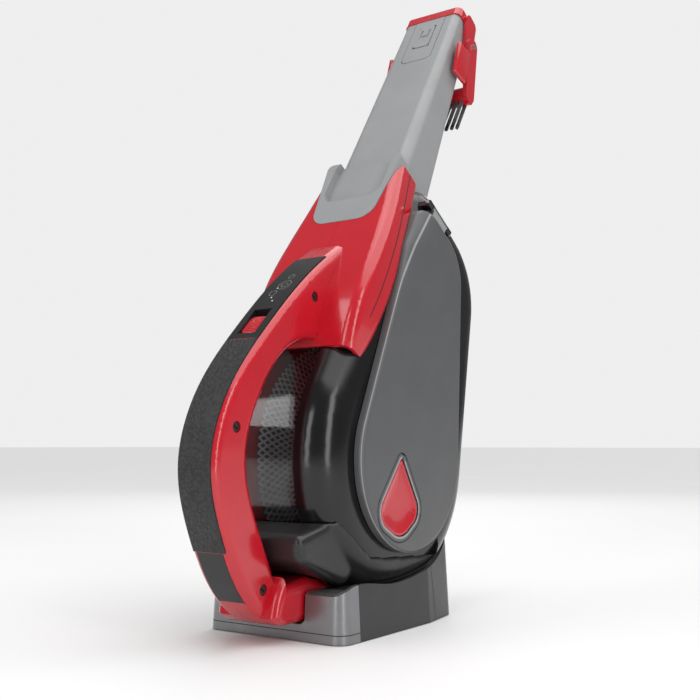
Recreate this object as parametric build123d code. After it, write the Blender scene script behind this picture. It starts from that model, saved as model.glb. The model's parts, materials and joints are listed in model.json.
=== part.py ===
from build123d import *
import math
import os

# Handheld vacuum standing nose-up on its charging base. Millimetres, +Z up.
# Origin: centre of the base's underside. -Y is the handle side, +X the dust-bowl door side.
#
# The base is drawn in that frame. The vacuum is drawn in its own upright frame, where
# the filter axis is the X axis, +Z runs up the nozzle and -Y is the handle side; DOCKED
# leans it back and lifts it onto the base.

# Vacuum on its base
LEAN = 32.0
FILTER_AXIS = (0, 16.0, 101.0)
DOCKED = Location(FILTER_AXIS, (-LEAN, 0, 0))

# Body, in the vacuum's frame: circles (y, z, radius) whose hull is its side view
BODY_CIRCLES = ((0, 0, 86.0), (-20.0, 114.0, 62.0), (-53.0, 154.0, 24.0))
BODY_X0, BODY_X1 = -46.0, 40.0
ROLL = 22.0
WALL = 2.4
POD_END_X = -22.0
BEZEL_START_X = 17.0
CEILING_Z = 110.0

# Side door, and the cover opposite it
PANEL_CIRCLES = ((0, 0, 58.0), (-38.0, 115.0, 36.0), (-63.0, 141.0, 10.0))
COVER_CIRCLES = PANEL_CIRCLES
PANEL_GAP = 0.4
PANEL_RISE = 6.4
COVER_RISE = 4.4
DOOR_OPENING_R = 50.0
DOOR_HINGE_Z = 156.0
LATCH_CIRCLES = ((-11.6, -9.7, 2.2), (-7.3, -41.1, 10.5), (10.5, -30.0, 10.5), (1.0, -33.6, 17.5))
HINGE_LUGS = (-66.0, -40.0)
HINGE_X = 43.0
LATCH_FLOOR_X = BODY_X1 + 2.0
LATCH_TOP_X = BODY_X1 + PANEL_RISE - 0.4
PIN_R = 1.25

# Motor and filter, all about the X axis
COLLAR_R = 43.5
COLLAR_END_X = -7.0
MOTOR_X0, MOTOR_X1 = -42.4, -21.4
MOTOR_R = 26.0
BEARING_R = 6.8
SHAFT_R = 2.5
IMPELLER_R = 34.0
IMPELLER_X = -20.4
FILTER_R = 37.0

# Handle
HANDLE_HALF = 14.5
COVER_DEPTH = 5.0
COVER_HALF = 11.5
FOOT_HALF = 22.0
SCREW_PLACES = ((-121.0, -54.0), (-104.0, 50.0), (-54.0, -117.0))

# Top housing
HOUSING_BACK_Y = -66.5
PANEL_ZONE = ((-85, 81), (-125, 81), (-150, 0), (-119, -1.0), (-95, 60))
GRIP_EDGE = ((-119, -1.2), (-150, -0.2), (-160, -60), (-125, -135))
GRIP_INNER_EDGE = ((-92, -121), (-86, -103), (-112, -70), (-124, -40))
PAD_ZONE = ((-92.2, -121.6), (-100, -135), (-60, -140), (-58, -118), (-85.7, -103.2))
CELL_R = 9.15
CELL_LENGTH = 65.0
CELL_X, CELL_Z = -34.0, 78.0
FACE_TILT = 13.5
SWITCH_POS = (-126.2, 14.5)

# Nozzle
NOZZLE_FRONT_Y = -88.0
NOZZLE_BASE_Z, NOZZLE_TIP_Z = 124.0, 338.0
NOZZLE_BASE = (57.0, 47.0)
NOZZLE_TIP = (47.0, 22.0)
NOTCH_HALF = 13.0
NOTCH_Z = 290.0
BRUSH_PIVOT = (-66.0, 322.0)
BRUSH_PIN_R = 1.98
TUBE_HALF = 20.6
TUBE_DEPTH = 16.4
TUBE_FRONT_Y = -85.2
TUBE_Z0 = 214.0

# Base
DOCK_FRONT_Y = -73.0
DOCK_FLOOR = 3.0
CRADLE_GAP = 2.9
NOTCH_FLOOR = 9.0
CONTACT_Y = -47.0
DOCK_PARTING_Y = -50.0
FOOT_DEPTH = 1.2
DOCK_SCREW_PLACES = ((-34, -36), (34, -36), (-34, 30), (34, 30))


def slab(outline, x0, x1):
    """A side-view outline given its width across the tool."""
    return extrude(Plane.YZ.offset(x0) * outline, x1 - x0)


def hull(circles, grow=0.0):
    """Convex outline round circles given as (y, z, radius)."""
    rings = [Edge.make_circle(r + grow, Plane((y, z, 0))) for y, z, r in circles]
    return make_hull(rings)


def disc(y, z, r):
    return Pos(y, z) * Circle(r)


def barrel(x0, x1, r, bore=0.0, y=0.0, z=0.0):
    """A cylinder about an axis along X, with an optional bore."""
    face = disc(y, z, r)
    if bore:
        face -= disc(y, z, bore)
    return slab(face, x0, x1)


def section(half, depth, front_y, z, corner):
    """Rounded rectangle across the tool at height z, its front side at front_y."""
    return Pos(0, front_y + depth / 2, z) * RectangleRounded(2 * half, depth, corner)


def rounded(shape, radius, picked):
    """Fillet the picked edges, or chamfer them where a fillet cannot be made."""
    try:
        return fillet(picked, radius)
    except Exception:
        return chamfer(picked, radius * 0.6)


def body_blank(grow=0.0):
    """The whole body as one pillow: its side view, rolled over at both flanks."""
    pillow = slab(hull(BODY_CIRCLES, grow), BODY_X0 - grow, BODY_X1 + grow)
    return fillet(pillow.faces().filter_by(Axis.X).edges(), ROLL + grow)


def body_slice(x0, x1):
    """The hollow body between two planes across the X axis."""
    wall = body_blank() - body_blank(-WALL)
    return wall & slab(Pos(0, 50) * Rectangle(400, 400), x0, x1)


# ---------------------------------------------------------------- red shells

def outer_curve():
    """The handle's back edge, from the housing round to the foot."""
    upper = ((-99, 96), (-114, 62), (-129, 8), (-135.5, -40))
    lower = ((-125, -81), (-96, -109), (-63, -126.5), (-36, -129.5))
    return Spline(*upper, *lower)


def inner_curve():
    """The hand side of the grip, from the foot up to the housing."""
    return Spline((-43, -108.5), (-71, -90.3), (-104, -60), (-111, -30), (-106, 8), (-92, 26))


def parallel(curve, distance, count=11):
    """A spline at a fixed distance to the left of another."""
    points = []
    for n in range(count):
        t = n / (count - 1)
        along = curve % t
        points.append(curve @ t + Vector(-along.Y, along.X) * distance)
    return Spline(*points)


def closed(*curves):
    """Face inside curves laid end to end, with straight joins where they do not meet."""
    edges = []
    for n, curve in enumerate(curves):
        edges.append(curve)
        gap = (curve @ 1, curves[(n + 1) % len(curves)] @ 0)
        if (gap[0] - gap[1]).length > 0.001:
            edges.append(Line(*gap))
    return make_face(Curve() + edges)


def handle_outline():
    """The D-shaped grip in side view, with its foot."""
    sole = Polyline((-36, -129.5), (-31.8, -127.4), (17, -96.1), (12, -88.5))
    top = Polyline((12, -88.5), (-10, -89.5), (-30, -96.5), (-43, -108.5))
    lid = Polyline((-92, 26), (-80, 40), (-80, 96), (-99, 96))
    return closed(outer_curve(), sole, top, inner_curve(), lid)


def handle_solid():
    """The grip with its long edges rounded."""
    body = slab(handle_outline(), -HANDLE_HALF, HANDLE_HALF)
    rims = body.faces().filter_by(Axis.X).edges()
    return rounded(body, 6.0, rims.filter_by(lambda e: e.length > 60))


def handle_hollow():
    """Space inside the grip for the switch, the board and the wires."""
    skin = COVER_DEPTH + 2.4
    throat = Polyline((-84, 36), (-84, 88), (-90, 88))
    core = closed(parallel(outer_curve(), skin), parallel(inner_curve(), 2.6), throat)
    return slab(core, -HANDLE_HALF + 3, HANDLE_HALF - 3)


def housing_solid(inset=0.0):
    """Red top housing in front of the bowl, narrowing towards the nozzle."""
    steps = ((26, 38, 20), (60, 42, 30), (100, 41, 30), (140, 36, 28.6), (172, 30.5, 28.6))
    sides = [
        section(half - inset, depth - 2 * inset, HOUSING_BACK_Y - depth + inset, z, 8 - inset)
        for z, half, depth in steps
    ]
    return loft(sides)


def foot_solid():
    """The broad red foot that stands in the base's notch."""
    foot = slab(handle_outline() & disc(-10, -114, 38), -FOOT_HALF, FOOT_HALF)
    return rounded(foot, 5.0, foot.faces().filter_by(Axis.X).edges())


def cover_layer(zone, half):
    """The front few millimetres of the handle inside one zone of the side view."""
    back_edge = outer_curve()
    skin = parallel(back_edge, COVER_DEPTH)
    ends = [Line(back_edge @ 1, skin @ 1), Line(skin @ 0, back_edge @ 0)]
    layer = make_face(Curve() + [back_edge, ends[0], skin, ends[1]])
    zone_face = make_face(Polyline(*zone, close=True))
    return slab(layer & zone_face, -half, half)


def cover_pocket():
    """Recess that the three handle covers sit in."""
    pocket = cover_layer(PANEL_ZONE, COVER_HALF + 0.2)
    pocket += cover_layer(GRIP_EDGE + GRIP_INNER_EDGE, COVER_HALF + 0.2)
    return pocket + cover_layer(PAD_ZONE, COVER_HALF - 1.8)


def screw_posts():
    """Bosses inside the grip that the shell screws run through."""
    posts = None
    for y, z in SCREW_PLACES:
        post = barrel(-HANDLE_HALF + 1, HANDLE_HALF - 1, 3.6, y=y, z=z)
        posts = post if posts is None else posts + post
    return posts


def screw_bores():
    """Clearance for the shell screws, counterbored from the door side."""
    bores = None
    for y, z in SCREW_PLACES:
        bore = barrel(-9.0, HANDLE_HALF, 1.5, y=y, z=z) + barrel(11.7, HANDLE_HALF + 1, 3.2, y=y, z=z)
        bores = bore if bores is None else bores + bore
    return bores


def shell_screws():
    """Screws that hold the two shells together."""
    screws = []
    for y, z in SCREW_PLACES:
        screw = barrel(-8.8, 11.8, 1.45, y=y, z=z) + barrel(11.8, 13.6, 2.8, y=y, z=z)
        screws.append(screw - Pos(13.6, y, z) * Box(1.6, 3.6, 0.8))
    return Compound(children=screws)


def shell_solid():
    """Handle, housing and foot as one hollow red shape, before it is split in two."""
    outside = handle_solid() + housing_solid() + foot_solid()
    shell = outside - handle_hollow() - housing_solid(2.5) + screw_posts()
    shell -= cover_pocket()
    shell -= screw_bores()
    shell -= switch_place(6) * Box(12, 14, 22)
    shell -= body_blank(0.35)
    shell -= charge_contacts_blank(0.05)
    shell -= slab(hull(PANEL_CIRCLES, 0.6), 25, 60) + slab(hull(COVER_CIRCLES, 0.6), -60, -25)
    return shell - nozzle_outer(0.3) - collar_blank(0.25)


def charge_contacts_blank(grow=0.0):
    """Two contact pads in the sole of the foot."""
    pads = None
    for side in (-1, 1):
        pad = Pos(side * 11, -5.5, -110.1) * Rot(X=LEAN) * Box(8 + grow, 16 + grow, 1.6 + grow)
        pads = pad if pads is None else pads + pad
    return pads


def charge_contacts():
    return charge_contacts_blank()


# ---------------------------------------------------------------- nozzle

def nozzle_outer(grow=0.0):
    base, tip = NOZZLE_BASE, NOZZLE_TIP
    low = section(base[0] / 2 + grow, base[1] + 2 * grow, NOZZLE_FRONT_Y - grow, NOZZLE_BASE_Z, 9)
    high = section(tip[0] / 2 + grow, tip[1] + 2 * grow, NOZZLE_FRONT_Y - grow, NOZZLE_TIP_Z, 5)
    return loft([low, high])


def collar_blank(grow=0.0):
    """Shield-shaped plate round the foot of the nozzle."""
    shield = make_hull(
        [
            Edge.make_circle(4 + grow, Plane((-26, 175, 0))),
            Edge.make_circle(4 + grow, Plane((26, 175, 0))),
            Edge.make_circle(12 + grow, Plane((-13, 134, 0))),
            Edge.make_circle(12 + grow, Plane((13, 134, 0))),
        ]
    )
    plate = Plane.XZ.offset(85.0 - grow) * shield
    return extrude(plate, 10.7 + 2 * grow)


def nozzle():
    """Outer nozzle with the shield plate at its foot and a notch at its tip."""
    shape = nozzle_outer() + collar_blank()
    front = NOZZLE_FRONT_Y + WALL
    low = section(NOZZLE_BASE[0] / 2 - WALL, NOZZLE_BASE[1] - 2 * WALL, front, NOZZLE_BASE_Z, 7)
    high = section(NOZZLE_TIP[0] / 2 - WALL, NOZZLE_TIP[1] - 2 * WALL, front, NOZZLE_TIP_Z, 3.4)
    shape -= loft([low, high])
    step = Pos(0, -94.0, 162) * Box(46, 6.4, 40)
    shape -= fillet(step.edges().filter_by(Axis.Y), 10)
    notch_height = NOZZLE_TIP_Z - NOTCH_Z
    notch = Pos(0, NOZZLE_FRONT_Y, NOTCH_Z + notch_height / 2) * Box(2 * NOTCH_HALF, 8, notch_height)
    return shape - fillet(notch.edges().filter_by(Axis.Y).group_by(Axis.Z)[0], 5.0)


def air_duct(grow=0.0):
    """Funnel from the nozzle's foot to the inlet in the bowl's ceiling."""
    low = section(24 + grow, 30 + 2 * grow, -76 - grow, CEILING_Z + WALL / 2 + 0.1, 6)
    high = section(28.3 + grow, 46.6 + 2 * grow, -87.8 - grow, NOZZLE_BASE_Z - 0.1, 8)
    inner_low = section(22, 26, -74, CEILING_Z + WALL / 2 + 0.1, 5)
    inner_high = section(26.1, 42.2, -85.6, NOZZLE_BASE_Z - 0.1, 6)
    funnel = loft([low, high])
    return funnel if grow else funnel - loft([inner_low, inner_high]) - collar_blank(0.1)


def tube_block(half, depth, front_y, z0, z1, corner):
    return extrude(section(half, depth, front_y, z0, corner), z1 - z0)


def extension_tube():
    """Inner crevice tube with the rim that caps the nozzle's tip and carries the brush ears."""
    tube = tube_block(TUBE_HALF, TUBE_DEPTH, TUBE_FRONT_Y, TUBE_Z0, 341, 4)
    rim = tube_block(24.5, 23, NOZZLE_FRONT_Y - 0.5, 338.4, 347, 5)
    rim = fillet(rim.edges().group_by(Axis.Z)[-1], 2.0)
    ear = hull(((BRUSH_PIVOT[0], BRUSH_PIVOT[1], 6.0), (-76, 342, 4.5), (-70, 342, 4.5)))
    for x0 in (24.3, -26.8):
        rim += slab(ear, x0, x0 + 2.5)
    rim -= barrel(-40, 40, BRUSH_PIN_R, y=BRUSH_PIVOT[0], z=BRUSH_PIVOT[1])
    way = tube_block(TUBE_HALF - 1.8, TUBE_DEPTH - 3.6, TUBE_FRONT_Y + 1.8, TUBE_Z0 - 5, 360, 2.6)
    return tube + rim - way - button_seat()


def button_seat():
    return Pos(0, -86, 318) * Box(14.4, 12, 24.4)


def thumb_plate():
    """Grey plate that fills the notch in the nozzle's front and frames the button."""
    plate = Pos(0, -86.8, 314.4) * Box(25.2, 2.6, 47.6)
    plate = fillet(plate.edges().filter_by(Axis.Y).group_by(Axis.Z)[0], 4.6)
    return plate - button_seat()


def release_button():
    pad = Pos(0, -86.9, 318) * Box(13.6, 3.4, 23.6)
    pad = fillet(pad.edges().filter_by(Axis.Y), 3.0)
    groove = Pos(0, -89, 321) * (Box(8, 2, 9) - Pos(0, 0, 2) * Box(5, 3, 8))
    return pad - groove


def button_spring():
    return Pos(0, -83.6, 318) * Rot(X=90) * Cylinder(3.0, 2.4)


def brush_carrier():
    """Two arms and the crossbar that holds the bristle tufts."""
    py, pz = BRUSH_PIVOT
    bar = slab(hull(((py + 15, pz - 34, 5.0), (py + 17, pz - 38, 5.0))), -30, 30)
    for x0 in (-30.4, 27.2):
        arm = slab(hull(((py, pz, 6.5), (py + 12, pz - 29, 6.0), (py + 16, pz - 36, 6.0))), x0, x0 + 3.2)
        bar += arm - barrel(x0 - 1, x0 + 5, BRUSH_PIN_R + 0.05, y=py, z=pz)
    return bar


def bristles():
    """Two rows of tufts set in the crossbar."""
    py, pz = BRUSH_PIVOT
    tufts = []
    for row in (-2.6, 2.6):
        for n in range(12):
            x = -25.3 + n * 4.6
            tufts.append(Pos(x, py + 17.6 + row, pz - 53) * Cylinder(1.5, 26))
    return Compound(children=tufts)


def brush_pins():
    """The two pivot pins of the flip brush."""
    py, pz = BRUSH_PIVOT
    pins = [barrel(x0, x0 + 7.6, BRUSH_PIN_R, y=py, z=pz) for x0 in (24.0, -31.6)]
    return Compound(children=pins)


# ---------------------------------------------------------------- bowl, bezel and door

def trim_round_neighbours(shell):
    """Clear the nozzle, duct and lower case out of a slice of the body."""
    return shell - nozzle_outer(0.3) - air_duct(0.25) - collar_blank(0.25)


def dust_bowl():
    """Clear bowl: side wall, the end wall round the motor collar, and the ceiling."""
    bowl = body_slice(POD_END_X + 0.2, BEZEL_START_X)
    inside = body_blank(-WALL / 2)
    end = inside & slab(Pos(0, 50) * Rectangle(400, 400), POD_END_X + 0.2, POD_END_X + WALL)
    bowl += end - barrel(POD_END_X - 1, POD_END_X + 5, COLLAR_R + 0.2)
    ceiling = Pos(0, 0, CEILING_Z) * Box(200, 300, WALL) & inside
    bowl += ceiling & slab(Pos(0, 50) * Rectangle(400, 400), POD_END_X + 0.5, BEZEL_START_X)
    bowl -= Pos(0, -61, CEILING_Z) * Box(44, 26, 10)
    return trim_round_neighbours(bowl)


def bowl_bezel():
    """Glossy rolled frame round the door."""
    frame = body_slice(BEZEL_START_X + 0.15, BODY_X1 + 1)
    frame -= barrel(BODY_X1 - 5, BODY_X1 + 1, DOOR_OPENING_R)
    for y in HINGE_LUGS:
        frame += hinge_lug(y, 5.0)
    return trim_round_neighbours(frame)


def hinge_lug(y, length):
    """An ear on the bezel, bored for the hinge pin along Y."""
    knuckle = Pos(HINGE_X, y, DOOR_HINGE_Z) * Rot(X=90) * Cylinder(2.5, length)
    root = Pos(HINGE_X - 4, y, DOOR_HINGE_Z) * Box(8, length, 4)
    bore = Pos(HINGE_X, y, DOOR_HINGE_Z) * Rot(X=90) * Cylinder(PIN_R, length + 2)
    return knuckle + root - bore


def side_cover(circles, rise, side):
    """A thin teardrop cover that follows the body's rolled flank, open at the back."""
    skin = body_blank(rise) - body_blank(PANEL_GAP)
    x0 = 25 if side > 0 else -60
    cover = skin & slab(hull(circles), x0, x0 + 35)
    rim = cover.faces().sort_by(Axis.X)[-1 if side > 0 else 0].outer_wire().edges()
    cover = rounded(cover, rise * 0.5, rim)
    return cover - (body_blank(rise - 2.0) & slab(hull(circles, -3.5), x0, x0 + 35))


def side_panel():
    """Grey teardrop door with a plug ring and a hinge knuckle."""
    plate = side_cover(PANEL_CIRCLES, PANEL_RISE, 1)
    boss = slab(hull(LATCH_CIRCLES, 3.0), BODY_X1 + PANEL_GAP, BODY_X1 + PANEL_RISE - 0.5)
    plug = barrel(BODY_X1 - 7, BODY_X1 + PANEL_RISE - 1, DOOR_OPENING_R - 3.0, DOOR_OPENING_R - 5.4)
    knuckle = Pos(HINGE_X, -53, DOOR_HINGE_Z) * Rot(X=90) * Cylinder(2.4, 20)
    arm = Pos(HINGE_X + 0.6, -53, DOOR_HINGE_Z - 5) * Box(3.0, 18, 10)
    bore = Pos(HINGE_X, -53, DOOR_HINGE_Z) * Rot(X=90) * Cylinder(PIN_R + 0.05, 40)
    pocket = slab(hull(LATCH_CIRCLES, 1.0), LATCH_FLOOR_X, BODY_X1 + 10)
    return plate + boss + plug + knuckle + arm - bore - pocket


def door_pin():
    return Pos(HINGE_X, -53, DOOR_HINGE_Z) * Rot(X=90) * Cylinder(PIN_R, 34)


def door_latch():
    """Teardrop push button on the door."""
    pad = slab(hull(LATCH_CIRCLES), LATCH_FLOOR_X + 2.4, LATCH_TOP_X)
    return rounded(pad, 1.2, pad.faces().sort_by(Axis.X)[-1].edges())


def latch_spring():
    return barrel(LATCH_FLOOR_X, LATCH_FLOOR_X + 2.4, 5.0, 3.8, y=1.0, z=-33.6)


def door_seal():
    return barrel(BODY_X1 - 5.5, BODY_X1 - 2.6, DOOR_OPENING_R - 1.0, DOOR_OPENING_R - 3.0)


# ---------------------------------------------------------------- motor pod

def motor_pod():
    """Red pod on the far side that carries the motor and the cells."""
    pod = body_slice(BODY_X0 - 1, POD_END_X)
    end = body_blank(-WALL / 2) & slab(Pos(0, 50) * Rectangle(400, 400), POD_END_X - WALL, POD_END_X)
    pod += end
    pod -= barrel(BODY_X0 - 1, BODY_X0 + WALL + 1, 40.0)
    pod -= barrel(POD_END_X - 5, POD_END_X + 1, COLLAR_R - 3.2)
    return trim_round_neighbours(pod)


def exhaust_cover():
    """Vented cover on the far side, the door's mirror image."""
    cover = side_cover(COVER_CIRCLES, COVER_RISE, -1)
    slots = None
    for n in range(9):
        z = -32 + n * 8
        width = 2 * math.sqrt(38**2 - z**2) - 6
        slot = slab(Pos(0, z) * SlotOverall(width, 3.2), BODY_X0 - 12, BODY_X0 + 1)
        slots = slot if slots is None else slots + slot
    return cover - slots


def motor_collar():
    """Ribbed drum that stands out of the pod into the bowl."""
    drum = barrel(POD_END_X, COLLAR_END_X, COLLAR_R - 1.2, COLLAR_R - 4.0)
    drum += barrel(POD_END_X, POD_END_X + 2.0, COLLAR_R, COLLAR_R - 6.0)
    length = COLLAR_END_X - POD_END_X
    rib = Pos(POD_END_X + length / 2, 0, COLLAR_R - 1.0) * Box(length, 1.4, 2.0)
    for n in range(36):
        drum += Rot(X=10 * n) * rib
    return drum + barrel(COLLAR_END_X - 2.4, COLLAR_END_X, COLLAR_R - 3.0, 20.0)


def motor_can():
    """Steel can with an open bearing seat at each end."""
    can = barrel(MOTOR_X0, MOTOR_X1, MOTOR_R, MOTOR_R - 1.6)
    can += barrel(MOTOR_X0, MOTOR_X0 + 1.6, MOTOR_R, BEARING_R)
    return can + barrel(MOTOR_X1 - 1.6, MOTOR_X1, MOTOR_R, BEARING_R)


def motor_magnets():
    """Two curved magnets inside the can."""
    ring = barrel(MOTOR_X0 + 3, MOTOR_X1 - 3, MOTOR_R - 1.7, MOTOR_R - 6.0)
    return ring - Box(200, 8, 200)


def rotor_shaft():
    return barrel(MOTOR_X0 - 1.0, IMPELLER_X + 9.2, SHAFT_R)


def armature():
    """Slotted rotor core on the shaft."""
    core = barrel(MOTOR_X0 + 4, MOTOR_X1 - 4, 18.5, SHAFT_R)
    slot = Pos((MOTOR_X0 + MOTOR_X1) / 2, 0, 16) * Box(16, 2.2, 8)
    for n in range(7):
        core -= Rot(X=n * 360 / 7) * slot
    return core


def impeller():
    """Fan: backplate, hub and swept blades."""
    wheel = barrel(IMPELLER_X, IMPELLER_X + 1.6, IMPELLER_R, SHAFT_R)
    wheel += barrel(IMPELLER_X, IMPELLER_X + 8.6, 7.0, SHAFT_R)
    blade = Pos(IMPELLER_X + 4.6, 8, 20) * Box(7.2, 1.4, 25)
    for n in range(9):
        wheel += Rot(X=n * 40) * blade
    return wheel & barrel(IMPELLER_X, IMPELLER_X + 9, IMPELLER_R)


def bearings():
    """The shaft's two bearings, seated in the can's ends."""
    rear = barrel(MOTOR_X0, MOTOR_X0 + 2.6, BEARING_R, SHAFT_R + 0.04)
    front = barrel(MOTOR_X1 - 2.6, MOTOR_X1, BEARING_R, SHAFT_R + 0.04)
    return Compound(children=[rear, front])


def prefilter_cage():
    """Open cage, drawn as a barrel with rows of windows, and its hand-grip end."""
    cage = barrel(-6.6, 19.0, COLLAR_R - 0.6, COLLAR_R - 2.6)
    window = Pos(6.2, 0, COLLAR_R - 2) * Box(17, 4.6, 6)
    for n in range(24):
        cage -= Rot(X=15 * n) * window
    cage += barrel(19.0, 22.0, COLLAR_R + 2.5, 14.0)
    return cage


def pleated_filter():
    """Paper filter folded into a star round a hollow core."""
    pleats = 28
    points = []
    for n in range(2 * pleats):
        r = FILTER_R if n % 2 == 0 else FILTER_R - 9
        a = math.pi * n / pleats
        points.append((r * math.cos(a), r * math.sin(a)))
    star = make_face(Polyline(*points, close=True)) - Circle(22)
    return slab(star, -5.6, 17.6)


def filter_seal():
    return barrel(-6.9, -5.7, COLLAR_R - 3.0, 24.0)


def cell_place(n):
    return Pos(CELL_X, -56 + 19.6 * n, CELL_Z)


def battery_cells():
    cells = [cell_place(n) * Cylinder(CELL_R, CELL_LENGTH) for n in range(4)]
    return Compound(children=cells)


def battery_holder():
    """Two end caps tied by a back plate."""
    holder = None
    for z in (CELL_Z - CELL_LENGTH / 2 - 1.6, CELL_Z + CELL_LENGTH / 2 + 1.6):
        cap = Pos(CELL_X, -26.6, z) * Box(13, 78, 3.2)
        holder = cap if holder is None else holder + cap
    return holder


def control_board():
    """Board behind the control panel."""
    return Pos(0, -98, 68) * Rot(X=-FACE_TILT) * Box(17, 1.6, 26)


# ---------------------------------------------------------------- handle covers and switch


def switch_place(depth):
    return Pos(0, SWITCH_POS[0] + depth, SWITCH_POS[1]) * Rot(X=-FACE_TILT)


def control_panel():
    """Smooth panel at the top of the handle, slotted for the switch."""
    return cover_layer(PANEL_ZONE, COVER_HALF) - switch_place(0) * Box(13, 30, 22)


def grip_pad():
    return cover_layer(GRIP_EDGE + GRIP_INNER_EDGE, COVER_HALF)


def lower_pad():
    return cover_layer(PAD_ZONE, COVER_HALF - 2.0)


def power_switch():
    """Slide switch with three grip ridges, drawn at its off end."""
    pad = switch_place(1.4) * Pos(0, 0, -2) * Box(12.4, 3.6, 15.5)
    pad = fillet(pad.edges().group_by(SortBy.LENGTH)[0], 1.6)
    for step in (-4, 0, 4):
        pad -= switch_place(-0.6) * Pos(0, 0, step - 2) * Box(7, 0.9, 1.2)
    return pad


def switch_module():
    """Slide switch body under the button."""
    return switch_place(7.0) * Box(11, 6, 20)


# ---------------------------------------------------------------- lower band and trim

def under_zone():
    """Side view of the region under the body that the lower case wraps."""
    corners = ((-4, -70), (-40, -66), (-60, -80), (-20, -130), (60, -130), (110, -16), (76, -26))
    return make_face(Polyline(*corners, close=True))


def ledge_outline():
    """The lower case's nose, between the bowl and the handle's foot."""
    return hull(((-57, -89, 5.0), (-52, -94, 5.0), (-16, -84, 10.0), (-40, -72, 5.0)))


def lower_case():
    """Dark case wrapped round the bottom of the body, with a nose towards the handle."""
    band = body_blank(1.9) & slab(under_zone(), -60, 60)
    nose = slab(ledge_outline(), -38, 34)
    nose = fillet(nose.faces().filter_by(Axis.X).edges(), 4.5)
    case = (band + nose) - body_blank(0.35)
    for shift in (0.0, 0.4):
        case -= Pos(0, -shift, shift) * slab(handle_outline(), -FOOT_HALF - 0.4, FOOT_HALF + 0.4)
    return case


# ---------------------------------------------------------------- charging base

def dock_outline(inset=0.0):
    """Plan view: bowed front, straight sides and a tapered, rounded rear."""
    corners = []
    for side in (-1, 1):
        corners.append((side * 41.5, -58, 9.0))
        corners.append((side * 44.5, 26, 6.0))
        corners.append((side * 30, 54, 16.0))
    bow = disc(0, DOCK_FRONT_Y + 260 + inset, 260)
    return hull(corners, -inset) & bow


def dock_profile():
    """Side view of the base: low cheeks at the front rising to a high rear wall."""
    floor = Polyline((80, 0), (-80, 0), (-80, 10), (-70, 22))
    crest = Spline((-70, 22), (-60, 29), (-20, 28.5), (20, 31.5), (50, 41), (64, 58))
    rear = Polyline((64, 58), (66, 64), (80, 64), (80, 0))
    return make_face(Curve() + [floor, crest, rear])


def dock_solid(inset=0.0):
    """The base's outer block, leaning in slightly towards the top."""
    top = Pos(0, 0, 70) * dock_outline(inset + 3.5)
    return loft([dock_outline(inset), top]) & slab(dock_profile(), -60, 60)


def cradle_cut(grow=0.0):
    """Space that the docked vacuum fills, open upwards so that it lifts off."""
    _, y, z = FILTER_AXIS
    room = CRADLE_GAP + grow
    reach = BODY_CIRCLES[0][2] + room
    bowl = slab(disc(y, z, reach), BODY_X0 - room, BODY_X1 + room)
    bowl = fillet(bowl.faces().filter_by(Axis.X).edges(), ROLL + room)
    above = Pos(0, y, z + 60) * Box(84, 2 * reach, 120)
    foot = Pos(0, -56, NOTCH_FLOOR + 41 - grow) * Box(2 * (FOOT_HALF + 1.5 + grow), 80 + 2 * grow, 82)
    foot = fillet(foot.edges().filter_by(Axis.Y), 4)
    nose = Pos(0, -48, 71.5 - grow) * Box(84, 60, 88)
    return bowl + above + foot + nose


def dock_skin():
    """The base as a thin-walled shape, before its front is parted off."""
    solid = dock_solid() - cradle_cut()
    core = (dock_solid(2.4) - cradle_cut(2.4)) & Pos(0, 0, 30) * Box(200, 200, 60)
    skin = solid - core
    for x, y in DOCK_SCREW_PLACES:
        boss = Pos(x, y, DOCK_FLOOR + 15) * Cylinder(3.4, 30) - Pos(x, y, 6) * Cylinder(1.3, 6)
        skin += boss - cradle_cut()
    return skin


def front_zone(grow=0.0):
    return Pos(0, -90, 40) * Box(120, 2 * (90 + DOCK_PARTING_Y + grow), 80)


def dock_shell():
    """Charcoal body of the base with the cradle sunk in it."""
    shell = dock_skin() - front_zone(0.15) - Pos(0, 66, 9.2) * Box(11.4, 20, 9.4)
    for side in (-1, 1):
        shell -= Pos(side * 11, CONTACT_Y, 7.8) * Cylinder(1.8, 6)
    return shell


def dock_front():
    """Metallic front shell with the notch for the vacuum's foot."""
    return dock_skin() & front_zone()


def dock_base():
    """Floor plate screwed into the shells from below, with posts for the board."""
    plate = extrude(dock_outline(2.6), DOCK_FLOOR)
    for x, y in DOCK_SCREW_PLACES:
        plate -= Pos(x, y, 0.9) * Cylinder(3.2, 1.8)
        plate -= Pos(x, y, 2) * Cylinder(1.4, 4)
    for foot in dock_feet().solids():
        plate -= foot
    for side in (-1, 1):
        plate += Pos(side * 14, CONTACT_Y, 4) * Cylinder(2, 2)
    return plate


def dock_feet():
    """Four rubber feet let into the floor plate."""
    feet = []
    for x in (-30, 30):
        for y in (-50, 44):
            feet.append(Pos(x, y, FOOT_DEPTH / 2) * Cylinder(6, FOOT_DEPTH))
    return Compound(children=feet)


def dock_board():
    """Small circuit board under the contact pins."""
    return Pos(0, CONTACT_Y, 5.6) * Box(34, 16, 1.2)


def dock_contacts():
    """Sprung pins that meet the pads in the vacuum's foot."""
    return Compound(children=[Pos(side * 11, CONTACT_Y, 7.8) * Cylinder(1.6, 3.2) for side in (-1, 1)])


def charger_jack():
    """Inlet for the charger's plug, low in the rear wall."""
    body = Pos(0, 61.5, 9.2) * Box(11, 11, 9)
    return body - Pos(0, 64, 9.2) * Rot(X=90) * Cylinder(3.2, 10)


def dock_screws():
    """Screws that hold the floor plate, heads down."""
    screws = []
    for x, y in DOCK_SCREW_PLACES:
        head = Pos(x, y, 1.0) * Cylinder(3.0, 1.6)
        screws.append(head + Pos(x, y, 5.4) * Cylinder(1.3, 7.2))
    return Compound(children=screws)


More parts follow.
